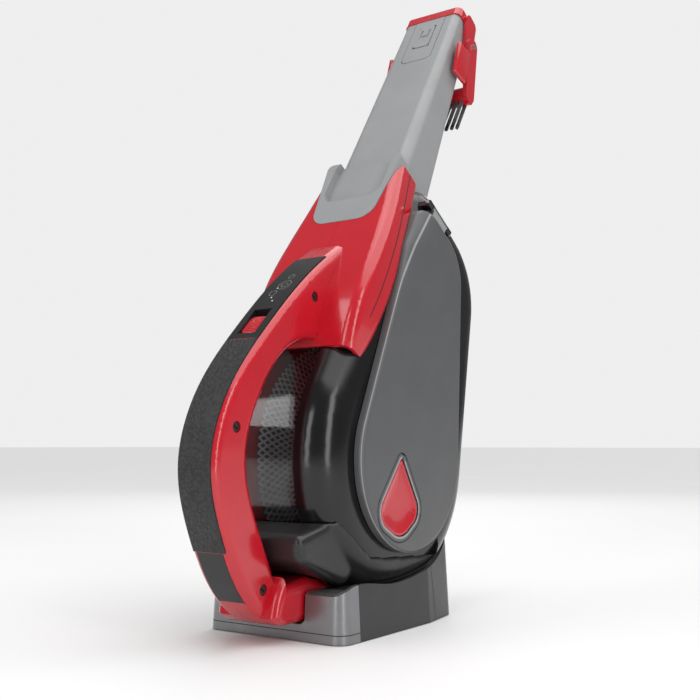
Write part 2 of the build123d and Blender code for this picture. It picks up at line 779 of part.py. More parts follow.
LEFT_HALF = Pos(-150, 0, 0) * Box(300, 600, 900)
RIGHT_HALF = Pos(150.1, 0, 0) * Box(300, 600, 900)


def left_shell():
    return shell_solid() & LEFT_HALF


def right_shell():
    return shell_solid() & RIGHT_HALF


def main():
    os.makedirs("parts", exist_ok=True)
    for build in (
        left_shell, right_shell, nozzle, air_duct, extension_tube, thumb_plate, release_button, button_spring,
        brush_carrier, bristles, brush_pins, dust_bowl, bowl_bezel, side_panel, door_pin, door_latch,
        latch_spring, door_seal, motor_pod, exhaust_cover, motor_collar, motor_can, motor_magnets,
        rotor_shaft, armature, impeller, bearings, prefilter_cage, pleated_filter, filter_seal,
        battery_cells, battery_holder, control_board, control_panel, grip_pad, lower_pad, power_switch,
        switch_module, shell_screws, charge_contacts, lower_case,
    ):
        export_step(DOCKED * build(), f"parts/{build.__name__}.step")
    for build in (
        dock_shell, dock_front, dock_base, dock_feet,
        dock_board, dock_contacts, charger_jack, dock_screws,
    ):
        export_step(build(), f"parts/{build.__name__}.step")


main()
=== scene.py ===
"""Handheld vacuum standing nose-up on its charging base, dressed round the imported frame."""

import json
import logging
import math
from dataclasses import dataclass, field
from enum import Enum

import bmesh
import bpy
from mathutils import Matrix, Vector
from mathutils.bvhtree import BVHTree

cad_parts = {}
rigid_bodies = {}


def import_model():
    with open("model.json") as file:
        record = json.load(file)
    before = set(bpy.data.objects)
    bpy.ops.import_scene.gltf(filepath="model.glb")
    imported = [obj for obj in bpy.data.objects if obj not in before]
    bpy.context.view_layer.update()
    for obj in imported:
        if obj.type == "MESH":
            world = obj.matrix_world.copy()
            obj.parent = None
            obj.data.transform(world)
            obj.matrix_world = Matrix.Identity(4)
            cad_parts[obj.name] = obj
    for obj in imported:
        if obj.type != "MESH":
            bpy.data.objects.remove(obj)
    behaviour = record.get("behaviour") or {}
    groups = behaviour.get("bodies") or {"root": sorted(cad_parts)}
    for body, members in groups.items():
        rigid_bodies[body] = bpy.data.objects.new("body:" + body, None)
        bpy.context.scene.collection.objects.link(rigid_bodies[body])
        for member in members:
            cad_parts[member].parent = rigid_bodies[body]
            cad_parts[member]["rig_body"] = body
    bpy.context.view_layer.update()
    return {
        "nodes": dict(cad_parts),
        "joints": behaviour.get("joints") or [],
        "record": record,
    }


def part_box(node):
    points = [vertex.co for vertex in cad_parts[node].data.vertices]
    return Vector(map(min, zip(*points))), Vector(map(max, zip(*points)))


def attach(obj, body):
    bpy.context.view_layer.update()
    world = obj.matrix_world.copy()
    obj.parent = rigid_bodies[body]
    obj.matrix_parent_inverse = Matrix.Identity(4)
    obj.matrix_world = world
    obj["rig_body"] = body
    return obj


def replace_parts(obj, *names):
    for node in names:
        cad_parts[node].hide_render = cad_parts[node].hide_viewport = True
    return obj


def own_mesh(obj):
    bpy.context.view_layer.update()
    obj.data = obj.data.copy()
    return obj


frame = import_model()
LOG = logging.getLogger("vacuum")

Color = tuple[float, float, float]
Point = tuple[float, float, float]
Socket = bpy.types.NodeSocket

MM = 0.001
JOINTS = {joint["name"]: joint for joint in frame["joints"]}
SLOT_OF = {part["node"]: part["material_slot"] for part in frame["record"]["subparts"]}


def tool_matrix() -> Matrix:
    """Placement of the vacuum's own frame: X across, Y away from the handle, Z up the nozzle.

    Returns:
        The matrix that takes a point of that frame, in metres, to the shared frame.
    """
    up = Vector(JOINTS["extension_slide"]["axis"]).normalized()
    across = Vector((1, 0, 0))
    back = up.cross(across)
    turn = Matrix((across, back, up)).transposed().to_4x4()
    return Matrix.Translation(Vector(JOINTS["rotor_spin"]["pos_m"])) @ turn


TOOL = tool_matrix()


def at(x: float, y: float, z: float) -> Vector:
    """Shared-frame point of a point in the vacuum's own frame, given in millimetres."""
    return TOOL @ (Vector((x, y, z)) * MM)


# ---------------------------------------------------------------- finishes


class Grain(Enum):
    """Kinds of fine surface relief."""

    SATIN = "satin"
    GLOSS = "gloss"
    LEATHER = "leather"
    BRUSHED = "brushed"
    PAPER = "paper"


class Graph:
    """A material under construction, with short calls for the nodes it needs."""

    def __init__(self, name: str) -> None:
        """Starts a material with one Principled shader wired to its output."""
        self.material = bpy.data.materials.new(name)
        self.material.use_nodes = True
        self.tree = self.material.node_tree
        self.tree.nodes.clear()
        self.output = self.node("ShaderNodeOutputMaterial")
        self.shader = self.node("ShaderNodeBsdfPrincipled")
        self.wire(self.shader.outputs["BSDF"], self.output.inputs["Surface"])
        self.place = self.node("ShaderNodeTexCoord").outputs["Object"]

    def node(self, kind: str) -> bpy.types.ShaderNode:
        """Adds a node of one kind."""
        return self.tree.nodes.new(kind)

    def wire(self, source: Socket, target: Socket) -> None:
        """Joins an output to an input."""
        self.tree.links.new(source, target)

    def stretched(self, scale: Point) -> Socket:
        """Object coordinates stretched about the origin.

        Args:
            scale: Factor along each axis.

        Returns:
            The mapped coordinates.
        """
        mapping = self.node("ShaderNodeMapping")
        mapping.inputs["Scale"].default_value = scale
        self.wire(self.place, mapping.inputs["Vector"])
        return mapping.outputs["Vector"]

    def noise(self, size: float, detail: float = 2.0, place: Socket | None = None) -> Socket:
        """Noise whose features are about one size, in metres.

        Args:
            size: Width of a feature.
            detail: Octaves of finer detail.
            place: Coordinates to read, or None for the plain ones.

        Returns:
            The noise's factor.
        """
        texture = self.node("ShaderNodeTexNoise")
        texture.inputs["Scale"].default_value = 1 / size
        texture.inputs["Detail"].default_value = detail
        self.wire(place or self.place, texture.inputs["Vector"])
        return texture.outputs["Fac"]

    def cells(self, size: float) -> Socket:
        """Smoothed distance inside a pattern of cells, 0 at each cell's middle.

        Args:
            size: Width of a cell in metres.

        Returns:
            The distance.
        """
        texture = self.node("ShaderNodeTexVoronoi")
        texture.feature = "SMOOTH_F1"
        texture.inputs["Scale"].default_value = 1 / size
        self.wire(self.place, texture.inputs["Vector"])
        return texture.outputs["Distance"]

    def spread(
        self, value: Socket, low: float, high: float, start: float = 0.3, end: float = 0.7
    ) -> Socket:
        """Remaps a factor to a range.

        Args:
            value: The factor.
            low: Result at start.
            high: Result at end.
            start: Factor that gives low.
            end: Factor that gives high.

        Returns:
            The remapped value.
        """
        remap = self.node("ShaderNodeMapRange")
        remap.inputs["From Min"].default_value = start
        remap.inputs["From Max"].default_value = end
        remap.inputs["To Min"].default_value = low
        remap.inputs["To Max"].default_value = high
        self.wire(value, remap.inputs["Value"])
        return remap.outputs["Result"]

    def blend(self, factor: Socket, first: Color, second: Color) -> Socket:
        """Mixes two colours by a factor."""
        mix = self.node("ShaderNodeMix")
        mix.data_type = "RGBA"
        mix.inputs["A"].default_value = (*first, 1)
        mix.inputs["B"].default_value = (*second, 1)
        self.wire(factor, mix.inputs["Factor"])
        return mix.outputs["Result"]

    def relief(
        self, height: Socket, depth: float, strength: float = 1.0, under: Socket | None = None
    ) -> Socket:
        """Bump from a height.

        Args:
            height: The height's factor.
            depth: Height of a full step in metres.
            strength: How much of it shows.
            under: A coarser relief that this one lies on.

        Returns:
            The bumped normal.
        """
        bump = self.node("ShaderNodeBump")
        bump.inputs["Distance"].default_value = depth
        bump.inputs["Strength"].default_value = strength
        self.wire(height, bump.inputs["Height"])
        if under is not None:
            self.wire(under, bump.inputs["Normal"])
        return bump.outputs["Normal"]

    def set(self, name: str, value: float) -> None:
        """Sets one constant on the shader."""
        self.shader.inputs[name].default_value = value

    def feed(self, name: str, socket: Socket) -> None:
        """Wires a socket to one of the shader's inputs."""
        self.wire(socket, self.shader.inputs[name])


@dataclass(frozen=True)
class Finish:
    """A solid finish: its colour, gloss and the scale of its grain.

    Attributes:
        name: The finish's name.
        color: Base colour.
        roughness: Middle roughness.
        grain: Kind of relief.
        grain_size: Width of the relief's features in metres.
        grain_depth: Height of the relief in metres.
        coat: Share of clear top coat.
        metallic: 1 for bare metal, and less for a metallic lacquer.
        wear: How much lighter rubbed patches are.
    """

    name: str
    color: Color
    roughness: float
    grain: Grain = Grain.SATIN
    grain_size: float = 0.0006
    grain_depth: float = 0.00002
    coat: float = 0.0
    metallic: float = 0.0
    wear: float = 0.08

    def build(self) -> bpy.types.Material:
        """Makes the material.

        Returns:
            The new material.
        """
        graph = Graph(self.name)
        graph.set("Metallic", self.metallic)
        graph.set("Coat Weight", self.coat)
        graph.set("Coat Roughness", 0.05)
        self.paint(graph)
        self.rub(graph)
        graph.feed("Normal", self.surface(graph))
        return graph.material

    def paint(self, graph: Graph) -> None:
        """Gives the colour a slow drift and lighter rubbed patches; on leather it paints each pebble's
        middle lighter as a painted highlight and its crevices darker as painted shade.
        """
        pale = tuple(min(1.0, c * (1 + self.wear) + 0.02 * self.wear) for c in self.color)
        deep = tuple(c * (1 - self.wear) for c in self.color)
        drift = graph.noise(0.02, 4.0)
        # Leather: painted highlight on each pebble's middle and painted shade in the crevices between
        # pebbles, from the cell distance.
        if self.grain is Grain.LEATHER:
            pale = tuple(2.4 * c for c in self.color)
            drift = graph.spread(graph.cells(self.grain_size), 1.0, 0.0, 0.1, 0.6)
        graph.feed("Base Color", graph.blend(drift, deep, pale))

    def rub(self, graph: Graph) -> None:
        """Varies the roughness with handling."""
        smear = graph.noise(0.025, 5.0)
        low = self.roughness * 0.85
        high = min(1.0, self.roughness * 1.2 + 0.01)
        graph.feed("Roughness", graph.spread(smear, low, high))

    def surface(self, graph: Graph) -> Socket:
        """Relief of the grain.

        Args:
            graph: The material under construction.

        Returns:
            The bumped normal.
        """
        if self.grain is Grain.LEATHER:
            return self.leather(graph)
        if self.grain is Grain.BRUSHED:
            lines = graph.noise(self.grain_size, 3.0, graph.stretched((0.03, 1, 1)))
            return graph.relief(lines, self.grain_depth)
        if self.grain is Grain.PAPER:
            fibre = graph.noise(self.grain_size, 6.0)
            return graph.relief(fibre, self.grain_depth)
        if self.grain is Grain.GLOSS:
            ripple = graph.noise(0.004, 1.0)
            base = graph.relief(ripple, self.grain_depth, 0.4)
            return graph.relief(graph.noise(self.grain_size), self.grain_depth / 6, 0.3, base)
        return graph.relief(graph.noise(self.grain_size, 3.0), self.grain_depth)

    def leather(self, graph: Graph) -> Socket:
        """Pebbled grip with a smooth, finely lined band along the door side.

        Args:
            graph: The material under construction.

        Returns:
            The bumped normal.
        """
        split = graph.node("ShaderNodeSeparateXYZ")
        graph.wire(graph.place, split.inputs["Vector"])
        pebbled = graph.spread(split.outputs["X"], 1.0, 0.0, 0.0052, 0.0058)
        pebbles = graph.relief(graph.cells(self.grain_size), self.grain_depth)
        graph.wire(pebbled, pebbles.node.inputs["Strength"])
        fine = graph.noise(0.0008, 0.0, graph.stretched((0.02, 0.3, 1)))
        lines = graph.relief(fine, 0.00008, 0.6, pebbles)
        return graph.relief(graph.noise(self.grain_size / 4), self.grain_depth / 6, 0.6, lines)


@dataclass(frozen=True)
class ClearFinish:
    """Smoked see-through plastic.

    Attributes:
        name: The finish's name.
        color: Tint of the plastic.
        roughness: Roughness of its faces.
        shine: Share of light that it reflects when looked straight at.
    """

    name: str
    color: Color
    roughness: float
    shine: float = 0.03

    def build(self) -> bpy.types.Material:
        """Makes the material.

        Returns:
            The new material.
        """
        graph = Graph(self.name)
        graph.set("Metallic", 1.0)
        haze = graph.noise(0.01, 4.0)
        graph.feed("Roughness", graph.spread(haze, self.roughness, self.roughness * 2.5))
        graph.feed("Base Color", graph.blend(graph.noise(0.03), (0.6, 0.6, 0.6), (0.7, 0.7, 0.7)))
        graph.feed("Normal", graph.relief(graph.noise(0.006, 1.0), 0.00002, 0.3))
        clear = graph.node("ShaderNodeBsdfTransparent")
        clear.inputs["Color"].default_value = (*self.color, 1)
        edge = graph.node("ShaderNodeLayerWeight")
        edge.inputs["Blend"].default_value = 0.35
        mix = graph.node("ShaderNodeMixShader")
        graph.wire(graph.spread(edge.outputs["Facing"], self.shine, 0.3, 0.1, 1.0), mix.inputs["Fac"])
        graph.wire(clear.outputs["BSDF"], mix.inputs[1])
        graph.wire(graph.shader.outputs["BSDF"], mix.inputs[2])
        graph.wire(mix.outputs["Shader"], graph.output.inputs["Surface"])
        return graph.material


FINISHES = {
    "red_gloss": Finish(
        "red moulding", (0.52, 0.007, 0.018), 0.2, Grain.GLOSS, 0.0007, 0.00002, coat=0.5
    ),
    "grey_satin": Finish("grey moulding", (0.3, 0.305, 0.31), 0.36, Grain.SATIN, 0.0005, 0.000012),
    "dark_grey_satin": Finish("dark grey moulding", (0.095, 0.097, 0.1), 0.34, Grain.SATIN, 0.0005, 0.00001),
    "black_gloss": Finish(
        "piano black moulding", (0.005, 0.005, 0.006), 0.17, Grain.GLOSS, 0.0007, 0.000004
    ),
    "black_satin": Finish("black moulding", (0.012, 0.012, 0.013), 0.33, Grain.SATIN, 0.0005, 0.00001),
    "grip_rubber": Finish("grip rubber", (0.014, 0.014, 0.015), 0.55, Grain.LEATHER, 0.0017, 0.0006),
    "smoked_clear": ClearFinish("smoked clear moulding", (0.9, 0.9, 0.91), 0.03),
    "metallic_grey": Finish(
        "metallic grey lacquer", (0.24, 0.243, 0.25), 0.3, Grain.SATIN, 0.0003, 0.00001,
        coat=0.2, metallic=0.8,
    ),
    "charcoal": Finish("charcoal moulding", (0.018, 0.0185, 0.02), 0.3, Grain.SATIN, 0.0006, 0.00001),
    "steel": Finish(
        "brushed steel", (0.55, 0.55, 0.56), 0.28, Grain.BRUSHED, 0.0004, 0.00001, metallic=1.0
    ),
    # Painted shade: the screw heads are darkened so the shallow counterbores read as dark shaded holes.
    "dark_steel": Finish("screw steel darkened as painted hole shade", (0.015, 0.015, 0.016), 0.35, Grain.BRUSHED, 0.0004, 0.00001),
    "brass": Finish(
        "contact brass", (0.7, 0.47, 0.2), 0.25, Grain.BRUSHED, 0.0004, 0.00001, metallic=1.0
    ),
    "white_paper": Finish("filter paper", (0.72, 0.7, 0.64), 0.85, Grain.PAPER, 0.0008, 0.0001),
    "bristle": Finish("bristle nylon", (0.05, 0.05, 0.055), 0.45, Grain.BRUSHED, 0.0004, 0.00001),
    "cell_wrap": Finish("cell sleeve", (0.03, 0.11, 0.3), 0.3, Grain.GLOSS, 0.0007, 0.00001),
    "board_green": Finish("board lacquer", (0.01, 0.09, 0.03), 0.3, Grain.GLOSS, 0.0007, 0.00002),
    "rubber_black": Finish("seal rubber", (0.012, 0.012, 0.012), 0.6, Grain.SATIN, 0.0008, 0.00004),
}


@dataclass
class Workshop:
    """Keeps the finished materials and turns bmeshes into dressed pieces."""

    materials: dict[str, bpy.types.Material] = field(default_factory=dict)

    def stock(self) -> None:
        """Makes one material for each of the record's slots and dresses every CAD node."""
        for slot_name, finish in FINISHES.items():
            self.materials[slot_name] = finish.build()
        for node, slot_name in SLOT_OF.items():
            data = frame["nodes"][node].data
            data.materials.clear()
            data.materials.append(self.materials[slot_name])

    def piece(self, name: str, bm: bmesh.types.BMesh, body: str, slot_name: str) -> bpy.types.Object:
        """Turns a bmesh in the shared frame into a piece that rides on a body.

        Args:
            name: The piece's name.
            bm: The finished bmesh, which is freed.
            body: The CAD body that it moves with.
            slot_name: The record's material slot.

        Returns:
            The new object.
        """
        mesh = bpy.data.meshes.new(name)
        bm.to_mesh(mesh)
        bm.free()
        mesh.materials.append(self.materials[slot_name])
        obj = bpy.data.objects.new(name, mesh)
        bpy.context.scene.collection.objects.link(obj)
        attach(obj, body)
        LOG.info("made %s on %s, %d faces", name, body, len(mesh.polygons))
        return obj

    def skin(self, node: str, slot_name: str | None = None) -> bpy.types.Object:
        """Stands a smooth-shaded, merged copy in for a CAD node.

        Args:
            node: The CAD node.
            slot_name: The record's slot for its finish, or None for the node's own.

        Returns:
            The new object.
        """
        source = frame["nodes"][node]
        bm = merged(node)
        shade(bm)
        obj = self.piece(f"{node}_skin", bm, source["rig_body"], slot_name or SLOT_OF[node])
        even = obj.modifiers.new("even normals", "WEIGHTED_NORMAL")
        even.keep_sharp = True
        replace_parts(obj, node)
        return obj

    def soften(self, node: str, voxel: float, rounds: int, slot_name: str) -> bpy.types.Object:
        """Stands a copy with well-rounded edges in for a CAD node.

        Args:
            node: The CAD node.
            voxel: Width of the even mesh's faces in metres.
            rounds: Rounds of smoothing.
            slot_name: The record's slot for its finish.

        Returns:
            The new object.
        """
        obj = self.skin(node, slot_name=slot_name)
        obj.modifiers.clear()
        even = obj.modifiers.new("even mesh", "REMESH")
        even.mode = "VOXEL"
        even.voxel_size = voxel
        even.use_smooth_shade = True
        smooth = obj.modifiers.new("rounded edges", "SMOOTH")
        smooth.factor = 0.5
        smooth.iterations = rounds
        return obj


def shade(bm: bmesh.types.BMesh, crease: float = 32.0) -> None:
    """Shades a bmesh smooth and keeps its creases sharp.

    Args:
        bm: The bmesh.
        crease: Angle in degrees past which an edge stays sharp.
    """
    limit = math.radians(crease)
    for face in bm.faces:
        face.smooth = True
    for edge in bm.edges:
        edge.smooth = edge.is_manifold and edge.calc_face_angle(0.0) < limit


# ---------------------------------------------------------------- sub-assemblies


@dataclass
class Skins:
    """Mouldings whose CAD shape is final and only needs smooth faces, and one with softened edges.

    Attributes:
        nodes: The CAD nodes that get smooth faces.
        case_voxel: Width of the even mesh's faces on the lower case, in metres.
        case_rounds: Rounds of smoothing of the lower case.
    """

    nodes: tuple[str, ...] = (
        "left_shell", "right_shell", "nozzle", "extension_tube", "thumb_plate", "release_button",
        "brush_carrier", "dust_bowl", "bowl_bezel", "side_panel", "motor_pod",
        "exhaust_cover", "control_panel", "grip_pad", "lower_pad",
        "dock_shell", "dock_front", "dock_base", "air_duct", "motor_collar", "prefilter_cage",
        "pleated_filter", "filter_seal",
    )
    case_voxel: float = 0.00105
    case_rounds: int = 16

    def build(self, shop: Workshop) -> None:
        """Makes the copies."""
        for node in self.nodes:
            shop.skin(node)
        shop.soften("lower_case", self.case_voxel, self.case_rounds, "charcoal")


def from_tool(bm: bmesh.types.BMesh) -> None:
    """Moves a bmesh drawn in the vacuum's own frame, in millimetres, to the shared frame."""
    bmesh.ops.transform(bm, matrix=TOOL @ Matrix.Scale(MM, 4), verts=bm.verts)


def merged(node: str) -> bmesh.types.BMesh:
    """Merged copy of a CAD node, in the shared frame."""
    bm = bmesh.new()
    bm.from_mesh(frame["nodes"][node].data)
    bmesh.ops.remove_doubles(bm, verts=bm.verts, dist=2e-6)
    return bm


def all_of(bm: bmesh.types.BMesh) -> list:
    """Every vertex, edge and face of a bmesh."""
    return [*bm.verts, *bm.edges, *bm.faces]


def block(bm: bmesh.types.BMesh, size: Point, round_by: float, matrix: Matrix) -> None:
    """Adds a block with rounded edges.

    Args:
        bm: The bmesh that it is added to.
        size: Its width, depth and height.
        round_by: Radius of its edges.
        matrix: Its placement.
    """
    made = bmesh.ops.create_cube(bm, size=1.0, matrix=Matrix.Diagonal((*size, 1)))
    edges = list({edge for vert in made["verts"] for edge in vert.link_edges})
    rounded = bmesh.ops.bevel(
        bm, geom=edges, offset=round_by, segments=3, profile=0.5, affect="EDGES", material=-1
    )
    verts = {vert for face in rounded["faces"] for vert in face.verts}
    verts |= {vert for vert in made["verts"] if vert.is_valid}
    bmesh.ops.transform(bm, matrix=matrix, verts=list(verts))


@dataclass(frozen=True)
class WireEnd:
    """The round end that a wire starts from.

    Attributes:
        radius: The wire's radius.
        segments: Sides of its section.
        stand: Placement of its end.
    """

    radius: float
    segments: int
    stand: Matrix

    def sweep(self, bm: bmesh.types.BMesh, axis: Point, turn: float, steps: int, rise: float = 0.0) -> None:
        """Spins the end into a capped wire about an axis through the origin.

        Args:
            bm: The bmesh that it is added to.
            axis: The axis, of length 1.
            turn: Angle that it covers in degrees.
            steps: Faces along it.
            rise: How far it climbs along the axis.
        """
        start = bmesh.ops.create_circle(
            bm, cap_ends=True, segments=self.segments, radius=self.radius, matrix=self.stand
        )["verts"]
        geom = list({item for vert in start for item in (vert, *vert.link_edges, *vert.link_faces)})
        bmesh.ops.spin(
            bm, geom=geom, cent=(0, 0, 0), axis=axis, dvec=Vector(axis) * (rise / steps),
            angle=math.radians(turn), steps=steps, use_merge=False,
        )


def upright(radius: float) -> Matrix:
    """Placement of a wire's end that is to be spun about Z at a radius."""
    return Matrix.Translation((radius, 0, 0)) @ Matrix.Rotation(math.radians(90), 4, "X")


@dataclass
class Brush:
    """Bristle tufts of the flip brush, in the vacuum's frame and millimetres.

    Attributes:
        pivot: Depth and height of the brush's pivot.
        columns: Tufts in a row.
        pitch: Distance from one tuft to the next.
        rows: Depth of each row from the crossbar's middle.
        crossbar: Depth and height of the tufts' middles from the pivot.
        per_tuft: Bristles round the middle one.
        length: A tuft's length.
        spread: Radius of the ring of bristles.
        bristle: A bristle's radius at its two ends.
        dip: Radius of the dipped end.
        cheek_size: Width, depth and height of a cheek.
        cheek_place: Side offset of a cheek, and its depth and height from the pivot.
        cheek_lean: A cheek's lean in degrees.
    """

    pivot: tuple[float, float] = (-66.0, 322.0)
    columns: int = 12
    pitch: float = 4.6
    rows: tuple[float, float] = (-2.6, 2.6)
    crossbar: tuple[float, float] = (17.6, -53.0)
    per_tuft: int = 9
    length: float = 26.0
    spread: float = 1.05
    bristle: tuple[float, float] = (0.3, 0.4)
    dip: float = 1.48
    cheek_size: Point = (3.6, 17.0, 27.0)
    cheek_place: Point = (29.6, -5.5, -24.0)
    cheek_lean: float = 14.0

    def build(self, shop: Workshop) -> None:
        """Makes the tufts, their dipped ends and the cheeks."""
        shafts = bmesh.new()
        ends = bmesh.new()
        left = -self.pitch * (self.columns - 1) / 2
        depth = self.pivot[0] + self.crossbar[0]
        height = self.pivot[1] + self.crossbar[1]
        for row in self.rows:
            for column in range(self.columns):
                self.tuft(shafts, ends, Vector((left + self.pitch * column, depth + row, height)))
        for bm in (shafts, ends):
            shade(bm, 50)
            from_tool(bm)
        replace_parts(shop.piece("bristle_tufts", shafts, "brush", "bristle"), "bristles")
        shop.piece("bristle_ends", ends, "brush", "rubber_black")
        self.cheeks(shop)

    def cheeks(self, shop: Workshop) -> None:
        """Makes the rounded cheeks that thicken the two arms beside the nozzle."""
        bm = bmesh.new()
        across, depth, height = self.cheek_place
        for side in (-1, 1):
            place = Matrix.Translation((side * across, self.pivot[0] + depth, self.pivot[1] + height))
            block(bm, self.cheek_size, 1.6, place @ Matrix.Rotation(math.radians(self.cheek_lean), 4, "X"))
        shade(bm, 50)
        from_tool(bm)
        shop.piece("brush_cheeks", bm, "brush", "red_gloss")

    def tuft(self, shafts: bmesh.types.BMesh, ends: bmesh.types.BMesh, root: Vector) -> None:
        """Adds one tuft of bristles with a dipped end.

        Args:
            shafts: The bmesh of the bristles.
            ends: The bmesh of the dipped ends.
            root: The tuft's middle.
        """
        spots = [(0.0, 0.0)]
        for n in range(self.per_tuft):
            angle = 2 * math.pi * n / self.per_tuft
            spots.append((self.spread * math.cos(angle), self.spread * math.sin(angle)))
        tip, foot = self.bristle
        for x, y in spots:
            lift = 0.5 * math.sin(7 * x + 3 * y + root.x)
            place = Matrix.Translation(root + Vector((x, y, lift)))
            bmesh.ops.create_cone(
                shafts, cap_ends=True, segments=6, radius1=tip, radius2=foot, depth=self.length - 1,
                matrix=place,
            )
        low = root + Vector((0, 0, -self.length / 2 + 2.6))
        long = Matrix.Diagonal((1, 1, 1.9, 1))
        bmesh.ops.create_icosphere(
            ends, subdivisions=2, radius=self.dip, matrix=Matrix.Translation(low) @ long
        )


@dataclass(frozen=True)
class SpringPlace:
    """Where a return spring stands and what presses it, in the vacuum's frame and millimetres.

    Attributes:
        node: The CAD node of the spring.
        body: The CAD body that it stands on.
        joint: The joint that presses it; not used.
        floor: The middle of its foot.
        turn_axis: Axis that turns its length from Z to its own direction.
        radius: The coil's radius.
        keep: Share of its length that is left when it is pressed; not used.
    """

    node: str
    body: str
    joint: str
    floor: Point
    turn_axis: str
    radius: float
    keep: float


@dataclass
class Springs:
    """Wound wire of the two return springs, in the vacuum's frame and millimetres.

    Attributes:
        wire: The wire's radius.
        turns: Turns in each.
        length: A spring's length between the wire's middles.
        springs: The springs under the door latch and the nozzle button.
    """

    wire: float = 0.32
    turns: int = 3
    length: float = 1.7
    springs: tuple[SpringPlace, ...] = (
        SpringPlace("latch_spring", "door", "latch_press", (42.0, 1.0, -33.6), "Y", 4.4, 0.34),
        SpringPlace("button_spring", "extension", "button_press", (0, -82.4, 318), "X", 2.6, 0.44),
    )

    def build(self, shop: Workshop) -> None:
        """Makes the springs."""
        for spring in self.springs:
            node, joint, keep = spring.node, spring.joint, spring.keep
            floor = Matrix.Translation(spring.floor) @ Matrix.Rotation(math.radians(90), 4, spring.turn_axis)
            bm = bmesh.new()
            self.coil(bm, spring.radius, floor @ Matrix.Translation((0, 0, self.wire)))
            from_tool(bm)
            obj = shop.piece(f"{node}_coil", bm, spring.body, "steel")
            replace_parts(obj, node)
            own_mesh(obj)

    def coil(self, bm: bmesh.types.BMesh, radius: float, place: Matrix) -> None:
        """Adds a helix of round wire along Z.

        Args:
            bm: The bmesh that it is added to.
            radius: The helix's radius.
            place: Its placement.
        """
        end = WireEnd(self.wire, 8, upright(radius))
        end.sweep(bm, (0, 0, 1), 360 * self.turns, 20 * self.turns, self.length)
        bmesh.ops.recalc_face_normals(bm, faces=bm.faces)
        for face in bm.faces:
            face.smooth = len(face.verts) == 4
        bmesh.ops.transform(bm, matrix=place, verts=bm.verts)


@dataclass
class LatchFace:
    """Dished face of the door's latch, with a light lip and a fine line round it, in metres.

    Attributes:
        steps: Scale and drop of each step of the dish, from the rim inwards.
        lips: Near and far distance from the latch, and slot, of each ring on the door.
        proud: How far a ring stands above the door.
    """

    steps: tuple[tuple[float, float], ...] = (
        (0.93, 0.0), (0.88, 0.0007), (0.8, 0.0005), (0.6, 0.0003), (0.3, 0.0001)
    )
    lips: tuple[tuple[float, float, str], ...] = (
        (0.0012, 0.0026, "grey_satin"), (0.0042, 0.005, "rubber_black")
    )
    proud: float = 0.00004

    def build(self, shop: Workshop) -> None:
        """Makes the dished latch and the rings round it."""
        bm = merged("door_latch")
        top = max(vert.co.x for vert in bm.verts)
        flat = [f for f in bm.faces if f.normal.x > 0.99 and f.calc_center_median().x > top - 0.0001]
        face = bmesh.ops.dissolve_faces(bm, faces=flat, use_verts=False)["region"][0]
        outline = [vert.co.copy() for vert in face.verts]
        middle = face.calc_center_bounds()
        size = 1.0
        for scale, drop in self.steps:
            face = bmesh.ops.extrude_discrete_faces(bm, faces=[face])["faces"][0]
            verts = list(face.verts)
            share = scale / size
            size = scale
            bmesh.ops.scale(bm, vec=(1, share, share), space=Matrix.Translation(-middle), verts=verts)
            bmesh.ops.translate(bm, vec=(-drop, 0, 0), verts=verts)
        bmesh.ops.remove_doubles(bm, verts=bm.verts, dist=2e-6)
        shade(bm, 50)
        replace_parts(shop.piece("door_latch_face", bm, "latch", "red_gloss"), "door_latch")
        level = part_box("side_panel")[1].x + self.proud
        for near, far, slot_name in self.lips:
            self.ring(shop, outline, near, far, level, slot_name)

    def ring(
        self, shop: Workshop, outline: list[Vector], near: float, far: float, level: float, slot_name: str
    ) -> None:
        """Makes a flat ring on the door, at an even distance from the latch.

        Args:
            shop: The workshop.
            outline: The latch's rim, in order.
            near: The ring's distance from it.
            far: The far side's distance from it.
            level: The ring's place along X.
            slot_name: The record's slot for its finish.
        """
        bm = bmesh.new()
        edges = []
        for distance in (near, far):
            loop = []
            for n, point in enumerate(outline):
                along = (outline[(n + 1) % len(outline)] - outline[n - 1]).normalized()
                spot = point + distance * along.cross(Vector((1, 0, 0)))
                loop.append(bm.verts.new((level, spot.y, spot.z)))
            edges += [bm.edges.new((loop[n - 1], loop[n])) for n in range(len(loop))]
        bmesh.ops.bridge_loops(bm, edges=edges)
        bmesh.ops.recalc_face_normals(bm, faces=bm.faces)
        bm.normal_update()
        if sum(face.normal.x for face in bm.faces) < 0:
            bmesh.ops.reverse_faces(bm, faces=bm.faces)
        shop.piece(f"latch_ring_{slot_name}", bm, "door", slot_name)


